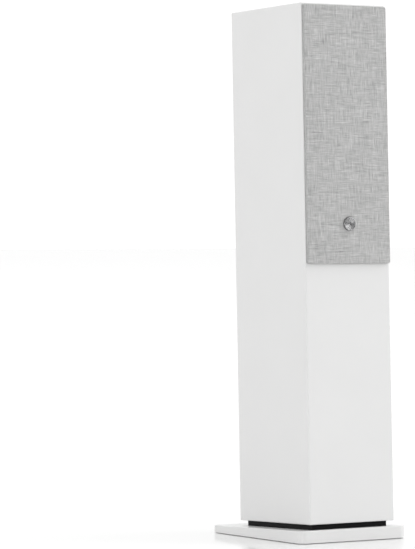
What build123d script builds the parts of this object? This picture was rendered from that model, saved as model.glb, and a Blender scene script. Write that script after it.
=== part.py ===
"""Floorstanding loudspeaker: a slim lacquered tower that leans back on a wedge plinth.

Units are millimetres, +Z is up, the front faces -Y, and the origin is on the floor under
the middle of the plinth. Everything above the plinth is drawn upright in the tower's own
frame (x across, y from front to back, z up from the plinth's top) and is then leaned back.
"""
from build123d import *
from math import cos, pi, radians, sin, tan
import os

# ---- driving dimensions -------------------------------------------------------------
# tower
CABINET_W = 150.0          # width across the front
CABINET_D = 182.0          # depth, front face to back face
CABINET_H = 755.0          # height of the box alone
LEAN = 1.9                 # degrees that the tower leans back
EDGE_R = 2.0               # rounded lacquered edges
WALL_T = 15.0              # side, top and bottom boards
BAFFLE_T = 18.0            # front board
REAR_T = 12.0              # rear panel
REAR_LEDGE = 6.0           # how far the rear panel laps over the walls
BRACE_T = 12.0             # window braces

# foot
SPACER_H = 8.0             # dark block between tower and plinth
SPACER_INSET = 8.5
PLINTH_SIDE = 20.0         # plinth overhang at each side
PLINTH_FRONT = 4.5         # plinth overhang in front
PLINTH_BACK = 47.5         # plinth overhang behind
PLINTH_TOP = 19.0          # height of the plinth's top at its front edge
PLINTH_CORNER_R = 12.0
PLINTH_EDGE_R = 1.2
FLOOR_GAP = 0.6            # the pads lift the plinth by this much
PAD_R = 11.0
PAD_POCKET = 1.5           # how far a pad is let into the plinth
BOLT_R = 3.0               # M6 bolts from plinth to tower
BOLT_HEAD_R = 5.0
BOLT_HEAD_H = 4.0
BOLT_X = 42.0
BOLT_Y = 58.0
BOLT_CLEAR = 0.3
INSERT_R = 4.5
INSERT_L = 12.0

# drivers
TWEETER_DROP = 54.7        # from the top of the cabinet down to the dome's centre
PLATE_GAP = 13.05          # baffle left between the tweeter's plate and the upper opening
WOOFER_GAP = 23.5          # baffle left between the two woofer openings
PLATE_R = 42.0             # tweeter faceplate
PLATE_T = 4.0
PLATE_PROUD = 1.5
PLATE_CLEAR = 0.2
PLATE_THROAT_R = 20.5      # opening in the faceplate
GROOVE_R = 28.5            # groove turned in the faceplate
GROOVE_W = 1.4
GROOVE_DEPTH = 1.1
DOME_R = 13.0
DOME_ROLL = 4.6            # width of the dome's surround
DOME_RISE = 5.2
LIGHT_DROP = 31.6          # status light below the dome's centre
LIGHT_R = 1.5

CUTOUT_R = 53.75           # woofer opening in the baffle
LIP_T = 8.0                # baffle left in front of the woofer's flange
TRIM_W = 2.35              # lining ring in the opening
FLANGE_LAP = 4.25          # how far the basket's square flange laps past the opening
FLANGE_CORNER = 30.0
FLANGE_T = 3.5
FLANGE_CLEAR = 0.4
ROLL_W = 9.0               # half roll of the woofer's surround
ROLL_RISE = 4.2
RUBBER_T = 0.7
CONE_DEPTH = 15.0
CAP_R = 16.0               # dust cap
CAP_RISE = 5.0
COIL_R = 13.0              # inside of the coil former
FORMER_T = 0.4
WINDING_T = 0.8
MAGNET_R = 36.0
MAGNET_T = 14.0
STEEL_T = 5.0              # top plate and yoke
MOVING_GAP = 0.3           # least gap beside anything that moves

# grille
GRILLE_SIDE = 1.8          # margin left at each side of the cabinet
GRILLE_TOP = 2.5           # margin left at the top
GRILLE_BELOW = 84.0        # from the lower woofer's centre to the grille's lower edge
GRILLE_PROUD = 5.6
GRILLE_SEAT = 0.3          # gap between frame and baffle
GRILLE_CORNER_R = 3.0
CLOTH_T = 0.6
GRILLE_RIM = 9.0           # width of the frame's rim
GRILLE_BAR = 10.0
BADGE_R = 10.3
BADGE_T = 2.2
BADGE_BELOW = 26.1         # from the lower woofer's centre down to the badge's centre
MAGNET_DISC_R = 4.0
MAGNET_DISC_T = 3.0

# back
PORT_ABOVE = 4.5           # bass port's axis above the lower woofer's centre
PORT_R = 21.0
PORT_WALL = 2.5
PORT_L = 90.0
FLARE_R = 33.0
AMP_W = 110.0              # amplifier panel on the back
AMP_H = 232.0
AMP_FOOT = 34.0            # its lower edge above the plinth
AMP_T = 2.5
AMP_LAP = 8.0              # how far the panel laps over the rear panel's opening
HOUSING_DEPTH = 52.0
HOUSING_WALL = 2.0
BOARD_T = 1.6
BOARD_GAP = 9.0
SINK_FINS = 11
SINK_H = 78.0
SINK_PROUD = 15.0
KNOB_R = 9.0
KNOB_H = 13.0
SHAFT_R = 3.0
BUTTON_R = 4.0
BUTTON_PROUD = 2.0
BUTTON_TRAVEL = 0.8
INLET_W = 24.0             # two-pole mains inlet
INLET_H = 16.0
ROCKER_W = 13.0
ROCKER_H = 19.0
WIRE_R = 1.6
WADDING_T = 24.0
BRACE_BELOW = 74.5         # room kept for the lower woofer above the lower brace
PAD_INSET = 8.0            # from the plinth's edge to a pad
BADGE_PIN_R = 1.5
BADGE_PIN_L = 2.0
BUSH_R = 4.5
SHAFT_CLEAR = 0.05
AXLE_R = 1.5
SOCKET_R = 4.15            # phono socket's barrel
PIN_HOLE_R = 1.6           # hole for the plug's pin

# ---- places worked out from them ----------------------------------------------------
FRONT = -CABINET_D / 2
BACK = CABINET_D / 2
BASE = SPACER_H
TOP = SPACER_H + CABINET_H
INNER_W = CABINET_W - 2 * WALL_T
INNER_FRONT = FRONT + BAFFLE_T
INNER_BACK = BACK - REAR_T
FLANGE = 2 * (CUTOUT_R + FLANGE_LAP)
TWEETER_Z = TOP - TWEETER_DROP
UPPER_WOOFER_Z = TWEETER_Z - PLATE_R - PLATE_GAP - CUTOUT_R
LOWER_WOOFER_Z = UPPER_WOOFER_Z - 2 * CUTOUT_R - WOOFER_GAP
WOOFERS = {"upper": UPPER_WOOFER_Z, "lower": LOWER_WOOFER_Z}
PORT_Z = LOWER_WOOFER_Z + PORT_ABOVE
BADGE_Z = LOWER_WOOFER_Z - BADGE_BELOW
AMP_Z = AMP_FOOT + AMP_H / 2
LOWER_BRACE_Z = (AMP_Z + AMP_H / 2 + LOWER_WOOFER_Z - BRACE_BELOW) / 2
FLANGE_Y = FRONT + LIP_T
PLINTH_W = CABINET_W + 2 * PLINTH_SIDE
PLINTH_D = (CABINET_D + PLINTH_FRONT + PLINTH_BACK) * cos(radians(LEAN))
PLINTH_BACK_TOP = PLINTH_TOP - PLINTH_D * tan(radians(LEAN))
LEANED = Pos(0, -PLINTH_D / 2, PLINTH_TOP) * Rot(-LEAN, 0, 0) * Pos(0, PLINTH_FRONT - FRONT, 0)

GRILLE_W = CABINET_W - 2 * GRILLE_SIDE
GRILLE_H = TOP - GRILLE_TOP - LOWER_WOOFER_Z + GRILLE_BELOW
GRILLE_Z = TOP - GRILLE_TOP - GRILLE_H / 2
GRILLE_BACK_Y = FRONT - GRILLE_SEAT
GRILLE_FRONT_Y = FRONT - GRILLE_PROUD
MAGNET_X = GRILLE_W / 2 - CLOTH_T - GRILLE_RIM / 2
MAGNET_ZS = [GRILLE_Z + side * (GRILLE_H / 2 - CLOTH_T - GRILLE_RIM) for side in (1, 0, -1)]

PARTS = {}


# ---- small helpers ------------------------------------------------------------------
def block(x0, x1, y0, y1, z0, z1):
    """A box between two opposite corners."""
    centre = Pos((x0 + x1) / 2, (y0 + y1) / 2, (z0 + z1) / 2)
    return centre * Box(x1 - x0, y1 - y0, z1 - z0)


def rod(r, x, y0, y1, z):
    """A cylinder that lies along Y."""
    return Pos(x, (y0 + y1) / 2, z) * Rot(90, 0, 0) * Cylinder(r, abs(y1 - y0))


def post(r, x, y, z0, z1):
    """An upright cylinder."""
    return Pos(x, y, (z0 + z1) / 2) * Cylinder(r, z1 - z0)


def turned(outline, z, x=0):
    """Spin a closed outline of (radius, y) about the line along Y through (x, z)."""
    return Pos(x, 0, z) * revolve(make_face(outline), Axis.Y)


def turned_points(points, z, x=0):
    """Spin a polygon of (radius, y) points."""
    return turned(Polyline(*points, close=True), z, x)


def ring(r_in, r_out, y0, y1, z, x=0):
    """A flat ring between two places along Y."""
    return rod(r_out, x, y0, y1, z) - rod(r_in, x, y0 - 1, y1 + 1, z)


def arc_band(r0, y0, r1, y1, bulge, thickness, z, x=0):
    """A thin spun shell whose front follows an arc from (r0, y0) to (r1, y1)."""
    middle = ((r0 + r1) / 2, (y0 + y1) / 2 - bulge)
    front = ThreePointArc((r0, y0), middle, (r1, y1))
    back = ThreePointArc((r0, y0 + thickness), (middle[0], middle[1] + thickness), (r1, y1 + thickness))
    ends = [Line((r0, y0), (r0, y0 + thickness)), Line((r1, y1), (r1, y1 + thickness))]
    return turned([front, back] + ends, z, x)


def slab(width, height, corner, y0, y1, z, x=0):
    """A plate with rounded corners that stands across Y."""
    face = RectangleRounded(width, height, corner)
    return Pos(x, max(y0, y1), z) * extrude(Rot(90, 0, 0) * face, abs(y1 - y0))


def screw(x, y, z, head_r, head_h, shank_r, shank_l, into):
    """A pan-head screw; the underside of its head is at y and it runs towards `into` (+1 or -1)."""
    head = rod(head_r, x, y, y - into * head_h, z)
    head -= slab(head_r * 1.1, head_r * 0.3, 0.1, y - into * head_h, y - into * head_h * 0.4, z, x)
    head -= slab(head_r * 0.3, head_r * 1.1, 0.1, y - into * head_h, y - into * head_h * 0.4, z, x)
    return head + rod(shank_r, x, y - into * head_h * 0.3, y + into * shank_l, z)


def keep(name, *solids):
    """Lean the solids back with the tower and file them under one node."""
    PARTS[name] = [LEANED * solid for solid in solids]


# ---- places shared by holes and the screws that fill them ---------------------------
REAR_SCREW_R = 1.6
REAR_SCREW_BITE = 12.0
WOOFER_SCREW_R = 1.6
WOOFER_SCREW_BITE = 6.5
WOOFER_SCREW_X = FLANGE / 2 - 13.0
TWEETER_SCREW_R = 1.3
TWEETER_SCREW_BITE = 9.0
TWEETER_SCREW_RING = 35.2
TWEETER_FLANGE_R = 38.5
CHASSIS_R = 28.5
AMP_SCREW_R = 1.6
AMP_SCREW_BITE = 9.0
LIGHT_L = 8.6
INSERT_BORE_R = BOLT_R
BOLT_SEAT_Z = -7.0         # the bolt heads bear this far below the plinth's top


def rear_screw_places():
    low = BASE + WALL_T - REAR_LEDGE / 2
    step = (CABINET_H - 2 * WALL_T + REAR_LEDGE) / 4
    x = INNER_W / 2 + REAR_LEDGE / 2
    return [(side * x, low + step * row) for side in (-1, 1) for row in range(5)]


def bolt_places():
    return [(x, y) for x in (-BOLT_X, BOLT_X) for y in (-BOLT_Y, BOLT_Y)]


def magnet_places():
    return [(side * MAGNET_X, z) for side in (-1, 1) for z in MAGNET_ZS]


def square_places(reach):
    """The four corners of a square about a driver's centre."""
    return [(x, z) for x in (-reach, reach) for z in (-reach, reach)]


def amp_screw_places():
    x = AMP_W / 2 - AMP_LAP / 2
    z = AMP_H / 2 - AMP_LAP / 2
    return [(side * x, AMP_Z + row * z) for side in (-1, 1) for row in (-1, 0, 1)]


# ---- cabinet ------------------------------------------------------------------------
def cabinet_envelope():
    body = block(-CABINET_W / 2, CABINET_W / 2, FRONT, BACK, BASE, TOP)
    faces = body.faces().sort_by(Axis.Z)
    edges = body.edges().filter_by(Axis.Z) + faces[0].edges() + faces[-1].edges()
    return fillet(edges, EDGE_R)


def front_baffle(envelope):
    board = envelope & block(-CABINET_W, CABINET_W, FRONT - 1, INNER_FRONT, BASE - 1, TOP + 1)
    plate_back = FRONT + PLATE_T - PLATE_PROUD
    board -= rod(PLATE_R + PLATE_CLEAR, 0, FRONT - 1, plate_back, TWEETER_Z)
    board -= rod(CHASSIS_R + PLATE_CLEAR, 0, FRONT, INNER_FRONT + 1, TWEETER_Z)
    board -= rod(LIGHT_R, 0, FRONT, FRONT - PLATE_PROUD + LIGHT_L, TWEETER_Z - LIGHT_DROP)
    for x, dz in square_places(TWEETER_SCREW_RING * sin(pi / 4)):
        board -= rod(TWEETER_SCREW_R, x, INNER_FRONT - TWEETER_SCREW_BITE, INNER_FRONT + 1, TWEETER_Z + dz)
    for z in WOOFERS.values():
        board -= rod(CUTOUT_R, 0, FRONT - 1, INNER_FRONT + 1, z)
        pocket = FLANGE + 2 * FLANGE_CLEAR
        board -= slab(pocket, pocket, FLANGE_CORNER, FLANGE_Y, INNER_FRONT + 1, z)
        for x, dz in square_places(WOOFER_SCREW_X):
            board -= rod(WOOFER_SCREW_R, x, FLANGE_Y - WOOFER_SCREW_BITE, FLANGE_Y + 1, z + dz)
    for x, z in magnet_places():
        board -= rod(MAGNET_DISC_R, x, FRONT + 1, INNER_FRONT + 1, z)
    return board


def cabinet_carcass(envelope):
    shell = envelope & block(-CABINET_W, CABINET_W, INNER_FRONT, BACK + 1, BASE - 1, TOP + 1)
    half = INNER_W / 2
    floor, ceiling = BASE + WALL_T, TOP - WALL_T
    shell -= block(-half, half, INNER_FRONT - 1, BACK + 1, floor, ceiling)
    lap = half + REAR_LEDGE
    shell -= block(-lap, lap, INNER_BACK, BACK + 1, floor - REAR_LEDGE, ceiling + REAR_LEDGE)
    for x, z in rear_screw_places():
        shell -= rod(REAR_SCREW_R, x, INNER_BACK - REAR_SCREW_BITE, INNER_BACK + 1, z)
    for x, y in bolt_places():
        shell -= post(INSERT_R, x, y, BASE - 1, BASE + INSERT_L)
    return shell


def rear_panel():
    half = INNER_W / 2 + REAR_LEDGE
    floor, ceiling = BASE + WALL_T - REAR_LEDGE, TOP - WALL_T + REAR_LEDGE
    panel = block(-half, half, INNER_BACK, BACK, floor, ceiling)
    for x, z in rear_screw_places():
        panel -= rod(REAR_SCREW_R, x, INNER_BACK - 1, BACK + 1, z)
    panel -= rod(PORT_R + PORT_WALL, 0, INNER_BACK - 1, BACK + 1, PORT_Z)
    wide, high = AMP_W / 2 - AMP_LAP, AMP_H / 2 - AMP_LAP
    panel -= block(-wide, wide, INNER_BACK - 1, BACK + 1, AMP_Z - high, AMP_Z + high)
    for x, z in amp_screw_places():
        panel -= rod(AMP_SCREW_R, x, BACK - AMP_SCREW_BITE, BACK + 1, z)
    return panel


def window_brace(z):
    """A shelf with four windows, so that air and wires pass."""
    shelf = block(-INNER_W / 2, INNER_W / 2, INNER_FRONT, INNER_BACK, z - BRACE_T / 2, z + BRACE_T / 2)
    bar = BRACE_T
    wide = INNER_W / 2 - bar
    deep = (INNER_BACK - INNER_FRONT - 3 * bar) / 2
    for side in (-1, 1):
        for front in (INNER_FRONT + bar, INNER_FRONT + 2 * bar + deep):
            inner, outer = sorted((side * bar / 2, side * wide))
            shelf -= block(inner, outer, front, front + deep, z - BRACE_T, z + BRACE_T)
    return shelf


def wadding(z0, z1):
    half = INNER_W / 2 - 6
    return block(-half, half, INNER_BACK - WADDING_T, INNER_BACK, z0, z1)


# ---- foot ---------------------------------------------------------------------------
def spacer_block():
    half_w, half_d = CABINET_W / 2 - SPACER_INSET, CABINET_D / 2 - SPACER_INSET
    spacer = block(-half_w, half_w, -half_d, half_d, 0, SPACER_H)
    for x, y in bolt_places():
        spacer -= post(BOLT_R + BOLT_CLEAR, x, y, -1, SPACER_H + 1)
    return spacer


def plinth():
    """The wedge, drawn level on the floor; only its top follows the tower's lean."""
    half = PLINTH_D / 2
    side = Polyline((-half, FLOOR_GAP), (half, FLOOR_GAP), (half, PLINTH_BACK_TOP), (-half, PLINTH_TOP),
                    close=True)
    wedge = Pos(-PLINTH_W / 2, 0, 0) * extrude(Plane.YZ * make_face(side), PLINTH_W)
    wedge = fillet(wedge.edges().filter_by(Axis.Z), PLINTH_CORNER_R)
    faces = wedge.faces().sort_by(Axis.Z)
    wedge = fillet(faces[-1].edges() + faces[0].edges(), PLINTH_EDGE_R)
    for x, y in pad_places():
        wedge -= post(PAD_R, x, y, 0, FLOOR_GAP + PAD_POCKET)
    for x, y in bolt_places():
        wedge -= LEANED * post(BOLT_R + BOLT_CLEAR, x, y, -PLINTH_TOP - 5, 1)
        wedge -= LEANED * post(BOLT_HEAD_R + BOLT_CLEAR, x, y, -PLINTH_TOP - 5, BOLT_SEAT_Z)
    return wedge


def pad_places():
    x = PLINTH_W / 2 - PAD_R - PAD_INSET
    y = PLINTH_D / 2 - PAD_R - PAD_INSET
    return [(side * x, end * y) for side in (-1, 1) for end in (-1, 1)]


def plinth_bolt(x, y):
    head = post(BOLT_HEAD_R, x, y, BOLT_SEAT_Z - BOLT_HEAD_H, BOLT_SEAT_Z)
    socket = extrude(Pos(x, y, BOLT_SEAT_Z - BOLT_HEAD_H) * RegularPolygon(BOLT_R * 0.9, 6), BOLT_HEAD_H / 2)
    return head - socket + post(BOLT_R, x, y, BOLT_SEAT_Z, BASE + INSERT_L - 1)


# ---- woofers ------------------------------------------------------------------------
LIP_Y = FLANGE_Y - 1.0                      # front of the surround's glued lip
ROLL_OUT = CUTOUT_R - TRIM_W - 0.4
ROLL_IN = ROLL_OUT - ROLL_W
CONE_R = ROLL_IN - MOVING_GAP
CONE_T = 1.2
CAP_SEAT_Y = LIP_Y + CONE_DEPTH
FORMER_R = COIL_R + FORMER_T
LEDGE_Y = FLANGE_Y + 22.0                   # where the spider is glued
TOP_PLATE_Y = FLANGE_Y + 31.0
MAGNET_Y = TOP_PLATE_Y + STEEL_T
YOKE_Y = MAGNET_Y + MAGNET_T
POLE_R = COIL_R - 0.6
GAP_R = FORMER_R + WINDING_T + 0.7
BASKET_R = MAGNET_R + 5.5
SPIDER_R = 38.0
TAG_R = BASKET_R + 4.0                      # where a lead meets the basket's tag
TAG_ANGLE = 45.0                            # the tags point down and outwards
TAG_X = TAG_R * cos(radians(TAG_ANGLE))
TAG_DROP = TAG_R * sin(radians(TAG_ANGLE))


def woofer_basket(z):
    flange_back = FLANGE_Y + FLANGE_T
    basket = slab(FLANGE, FLANGE, FLANGE_CORNER, FLANGE_Y, flange_back, z)
    basket -= rod(ROLL_OUT - 4.5, 0, FLANGE_Y - 1, flange_back + 1, z)
    rear = TOP_PLATE_Y - 2.5
    wall = [(ROLL_OUT - 4.5, flange_back - 1), (ROLL_OUT - 1.0, flange_back - 1), (BASKET_R, LEDGE_Y),
            (BASKET_R, TOP_PLATE_Y), (MAGNET_R - 14, TOP_PLATE_Y), (MAGNET_R - 14, rear), (SPIDER_R, rear),
            (SPIDER_R, LEDGE_Y + 1.8), (SPIDER_R - 4, LEDGE_Y + 1.8), (SPIDER_R - 4, LEDGE_Y),
            (SPIDER_R + 0.5, LEDGE_Y)]
    basket += turned_points(wall, z)
    for step in range(6):
        window = block(-14, 14, flange_back + 1.5, LEDGE_Y - 2.5, SPIDER_R - 8, ROLL_OUT + 8)
        basket -= Pos(0, 0, z) * Rot(0, 60 * step + 30, 0) * window
    tag = block(BASKET_R - 1.5, TAG_R + 4, LEDGE_Y - 2, LEDGE_Y + 1, -3, 3)
    basket += Pos(0, 0, z) * Rot(0, TAG_ANGLE, 0) * tag
    for x, dz in square_places(WOOFER_SCREW_X):
        basket -= rod(WOOFER_SCREW_R, x, FLANGE_Y - 1, flange_back + 1, z + dz)
    return basket


def woofer_trim_ring(z):
    inner, outer, front = CUTOUT_R - TRIM_W, CUTOUT_R, FRONT + 0.4
    outline = [Line((inner, LIP_Y), (outer, LIP_Y)), Line((outer, LIP_Y), (outer, front)),
               Line((outer, front), (outer - 0.6, front)),
               ThreePointArc((outer - 0.6, front), (inner + 0.5, front + 1.3), (inner, front + 3.2)),
               Line((inner, front + 3.2), (inner, LIP_Y))]
    return turned(outline, z)


def woofer_surround(z):
    roll = arc_band(ROLL_IN, LIP_Y + 0.3, ROLL_OUT, LIP_Y + 0.3, ROLL_RISE, RUBBER_T, z)
    return roll + ring(ROLL_OUT - 0.5, CUTOUT_R - 0.2, LIP_Y, FLANGE_Y, z)


def woofer_cone(z):
    """A curved paper cone with a flat land at its neck for the dust cap and the coil."""
    rim, neck = CONE_R, CAP_R + 1.5
    mid_r, mid_y = (rim + neck) / 2, (LIP_Y + CAP_SEAT_Y) / 2 - 1.2
    outline = [ThreePointArc((rim, LIP_Y), (mid_r, mid_y), (neck, CAP_SEAT_Y)),
               Line((neck, CAP_SEAT_Y), (FORMER_R, CAP_SEAT_Y)),
               Line((FORMER_R, CAP_SEAT_Y), (FORMER_R, CAP_SEAT_Y + CONE_T)),
               Line((FORMER_R, CAP_SEAT_Y + CONE_T), (neck, CAP_SEAT_Y + CONE_T)),
               ThreePointArc((neck, CAP_SEAT_Y + CONE_T), (mid_r, mid_y + CONE_T), (rim, LIP_Y + CONE_T)),
               Line((rim, LIP_Y + CONE_T), (rim, LIP_Y))]
    return turned(outline, z)


def dome_shell(r, seat_y, rise, thickness, z):
    """A domed cap whose rim rests at seat_y."""
    front = ThreePointArc((0, seat_y - thickness - rise),
                          (r * 0.55, seat_y - thickness - rise * 0.72), (r, seat_y - thickness))
    back = ThreePointArc((0, seat_y - rise), (r * 0.55, seat_y - rise * 0.72), (r, seat_y))
    sides = [Line((0, seat_y - thickness - rise), (0, seat_y - rise)),
             Line((r, seat_y - thickness), (r, seat_y))]
    return turned([front, back] + sides, z)


def woofer_coil(z):
    former = ring(COIL_R, FORMER_R, CAP_SEAT_Y - 0.5, MAGNET_Y + 6, z)
    winding = ring(FORMER_R, FORMER_R + WINDING_T, TOP_PLATE_Y - 2.5, MAGNET_Y + 2.5, z)
    return former + winding


def woofer_spider(z):
    """A corrugated cloth disc that centres the coil."""
    inner, outer, waves = FORMER_R + MOVING_GAP, SPIDER_R - 4.5, 12
    step = (outer - inner) / waves
    crest = [(inner + step * n, LEDGE_Y - 0.6 - (1.4 if n % 2 else 0)) for n in range(waves + 1)]
    back = [(r, y + 0.6) for r, y in reversed(crest)]
    rim = [(SPIDER_R, LEDGE_Y - 0.6), (SPIDER_R, LEDGE_Y)]
    return turned_points(crest + rim + back, z)


def woofer_yoke(z):
    back = YOKE_Y + STEEL_T
    outline = [(4, TOP_PLATE_Y), (POLE_R, TOP_PLATE_Y), (POLE_R, YOKE_Y), (MAGNET_R, YOKE_Y),
               (MAGNET_R, back - 1.5), (MAGNET_R - 1.5, back), (4, back)]
    return turned_points(outline, z)


def woofer(name, z):
    keep(name + "_woofer_basket", woofer_basket(z))
    keep(name + "_woofer_trim_ring", woofer_trim_ring(z))
    keep(name + "_woofer_surround", woofer_surround(z))
    keep(name + "_woofer_spider", woofer_spider(z))
    keep(name + "_woofer_cone", woofer_cone(z))
    keep(name + "_woofer_dust_cap", dome_shell(CAP_R, CAP_SEAT_Y, CAP_RISE, 0.6, z))
    keep(name + "_woofer_voice_coil", woofer_coil(z))
    keep(name + "_woofer_top_plate", ring(GAP_R, MAGNET_R, TOP_PLATE_Y, MAGNET_Y, z))
    keep(name + "_woofer_magnet", ring(MAGNET_R / 2, MAGNET_R, MAGNET_Y, YOKE_Y, z))
    keep(name + "_woofer_yoke", woofer_yoke(z))


# ---- tweeter ------------------------------------------------------------------------
PLATE_BACK = FRONT - PLATE_PROUD + PLATE_T
ROLL_SEAT = PLATE_BACK + 1.6                # where the dome's rim rests
DOME_SEAT = ROLL_SEAT + 0.5
TWEETER_CUP_R = 24.0
TWEETER_SEAT_R = 18.0                       # ledge that carries the dome's surround
TWEETER_PLATE_Y = DOME_SEAT + 2.4
TWEETER_MAGNET_Y = TWEETER_PLATE_Y + 3.0
TWEETER_YOKE_Y = TWEETER_MAGNET_Y + 7.0
TWEETER_LEAD_X = PORT_R + PORT_WALL + 6.0


def tweeter_faceplate():
    front = FRONT - PLATE_PROUD
    outline = [(PLATE_THROAT_R, PLATE_BACK), (PLATE_R, PLATE_BACK), (PLATE_R, front + 0.5),
               (PLATE_R - 0.5, front), (GROOVE_R + GROOVE_W / 2, front),
               (GROOVE_R + GROOVE_W / 2 - 0.3, front + GROOVE_DEPTH),
               (GROOVE_R - GROOVE_W / 2 + 0.3, front + GROOVE_DEPTH), (GROOVE_R - GROOVE_W / 2, front),
               (PLATE_THROAT_R + 4, front), (PLATE_THROAT_R + 2.8, front + 1.4),
               (PLATE_THROAT_R + 0.9, front + 1.9), (PLATE_THROAT_R, front + 2.6)]
    plate = turned_points(outline, TWEETER_Z)
    return plate - rod(LIGHT_R, 0, front - 1, PLATE_BACK + 1, TWEETER_Z - LIGHT_DROP)


def tweeter_chassis():
    """A cup that hangs in the baffle by a flange behind it."""
    seat = DOME_SEAT
    back = INNER_FRONT + 3.0
    outline = [(TWEETER_SEAT_R, seat), (CHASSIS_R, seat), (CHASSIS_R, INNER_FRONT),
               (TWEETER_FLANGE_R, INNER_FRONT), (TWEETER_FLANGE_R, back), (TWEETER_CUP_R, back),
               (TWEETER_CUP_R, TWEETER_PLATE_Y),
               (TWEETER_SEAT_R, TWEETER_PLATE_Y)]
    cup = turned_points(outline, TWEETER_Z)
    for x, dz in square_places(TWEETER_SCREW_RING * sin(pi / 4)):
        cup -= rod(TWEETER_SCREW_R, x, INNER_FRONT - 1, back + 1, TWEETER_Z + dz)
    return cup


def tweeter_surround():
    inner = DOME_R + 0.2 + MOVING_GAP
    outer = inner + DOME_ROLL
    roll = arc_band(inner, ROLL_SEAT, outer, ROLL_SEAT, 1.7, 0.5, TWEETER_Z)
    return roll + ring(outer - 0.3, PLATE_THROAT_R - 0.2, ROLL_SEAT, DOME_SEAT, TWEETER_Z)


def tweeter_coil():
    former = ring(DOME_R - 0.3, DOME_R + 0.1, DOME_SEAT, TWEETER_MAGNET_Y + 2, TWEETER_Z)
    return former + ring(DOME_R, DOME_R + 0.6, TWEETER_PLATE_Y - 0.5, TWEETER_MAGNET_Y + 0.5, TWEETER_Z)


def tweeter_yoke():
    back = TWEETER_YOKE_Y + 4.0
    outline = [(2, TWEETER_PLATE_Y), (DOME_R - 0.8, TWEETER_PLATE_Y), (DOME_R - 0.8, TWEETER_YOKE_Y),
               (TWEETER_CUP_R, TWEETER_YOKE_Y), (TWEETER_CUP_R, back), (2, back)]
    tag = block(DOME_R, TWEETER_LEAD_X + 3, back, back + 3, TWEETER_Z - 3, TWEETER_Z + 3)
    return turned_points(outline, TWEETER_Z) + tag


def tweeter():
    keep("tweeter_faceplate", tweeter_faceplate())
    keep("tweeter_chassis", tweeter_chassis())
    keep("tweeter_surround", tweeter_surround())
    keep("tweeter_dome", dome_shell(DOME_R + 0.2, DOME_SEAT, DOME_RISE, 0.5, TWEETER_Z))
    keep("tweeter_voice_coil", tweeter_coil())
    top_plate = ring(DOME_R + 1.2, TWEETER_CUP_R, TWEETER_PLATE_Y, TWEETER_MAGNET_Y, TWEETER_Z)
    magnet = ring(DOME_R + 3, TWEETER_CUP_R, TWEETER_MAGNET_Y, TWEETER_YOKE_Y, TWEETER_Z)
    keep("tweeter_top_plate", top_plate)
    keep("tweeter_magnet", magnet)
    keep("tweeter_yoke", tweeter_yoke())
    front = FRONT - PLATE_PROUD
    keep("status_light", rod(LIGHT_R, 0, front - 0.3, front + LIGHT_L, TWEETER_Z - LIGHT_DROP))


# ---- grille -------------------------------------------------------------------------
FRAME_W = GRILLE_W - 2 * CLOTH_T
FRAME_H = GRILLE_H - 2 * CLOTH_T
FRAME_FRONT_Y = GRILLE_FRONT_Y + CLOTH_T
FRAME_R = GRILLE_CORNER_R - CLOTH_T


def grille_frame():
    """A rim with two bars between the drivers and an arm that carries the badge."""
    frame = slab(FRAME_W, FRAME_H, FRAME_R, FRAME_FRONT_Y, GRILLE_BACK_Y, GRILLE_Z)
    half = FRAME_W / 2 - GRILLE_RIM
    top = GRILLE_Z + FRAME_H / 2 - GRILLE_RIM
    bottom = GRILLE_Z - FRAME_H / 2 + GRILLE_RIM
    bars = [UPPER_WOOFER_Z + CUTOUT_R + PLATE_GAP / 2, (UPPER_WOOFER_Z + LOWER_WOOFER_Z) / 2]
    uppers = [top] + [z - GRILLE_BAR / 2 for z in bars]
    lowers = [z + GRILLE_BAR / 2 for z in bars] + [bottom]
    for high, low in zip(uppers, lowers):
        frame -= slab(2 * half, high - low, 4, FRAME_FRONT_Y - 1, GRILLE_BACK_Y + 1, (high + low) / 2)
    arm_y = FRAME_FRONT_Y + 3.0
    frame += block(-4, 4, FRAME_FRONT_Y, arm_y, bottom - 1, BADGE_Z)
    frame += rod(BADGE_R - 2, 0, FRAME_FRONT_Y, arm_y, BADGE_Z)
    frame -= rod(BADGE_PIN_R, 0, FRAME_FRONT_Y - 1, FRAME_FRONT_Y + BADGE_PIN_L, BADGE_Z)
    for x, z in magnet_places():
        frame -= rod(MAGNET_DISC_R, x, GRILLE_BACK_Y - MAGNET_DISC_T, GRILLE_BACK_Y + 1, z)
    return frame


def grille_cloth():
    """Cloth stretched over the frame's front and folded back along its four sides."""
    cloth = slab(GRILLE_W, GRILLE_H, GRILLE_CORNER_R, GRILLE_FRONT_Y, GRILLE_BACK_Y, GRILLE_Z)
    cloth = fillet(cloth.faces().sort_by(Axis.Y)[0].edges(), CLOTH_T + 0.4)
    cloth -= slab(FRAME_W, FRAME_H, FRAME_R, FRAME_FRONT_Y, GRILLE_BACK_Y + 1, GRILLE_Z)
    return cloth - rod(BADGE_PIN_R, 0, GRILLE_FRONT_Y - 1, FRAME_FRONT_Y + 1, BADGE_Z)


def grille_badge():
    """A plain turned metal disc with a shallow dish and a pin into the frame's arm."""
    back = GRILLE_FRONT_Y
    front = back - BADGE_T
    rim = BADGE_R
    outline = [Line((0, front + 1.1), (2.6, front + 1.1)), Line((2.6, front + 1.1), (2.6, front + 0.6)),
               ThreePointArc((2.6, front + 0.6), (6.0, front + 0.45), (rim - 1.4, front)),
               ThreePointArc((rim - 1.4, front), (rim - 0.3, front + 0.4), (rim, front + 1.2)),
               Line((rim, front + 1.2), (rim, back)), Line((rim, back), (BADGE_PIN_R, back)),
               Line((BADGE_PIN_R, back), (BADGE_PIN_R, FRAME_FRONT_Y + BADGE_PIN_L)),
               Line((BADGE_PIN_R, FRAME_FRONT_Y + BADGE_PIN_L), (0, FRAME_FRONT_Y + BADGE_PIN_L)),
               Line((0, FRAME_FRONT_Y + BADGE_PIN_L), (0, front + 1.1))]
    return turned(outline, BADGE_Z)


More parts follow.
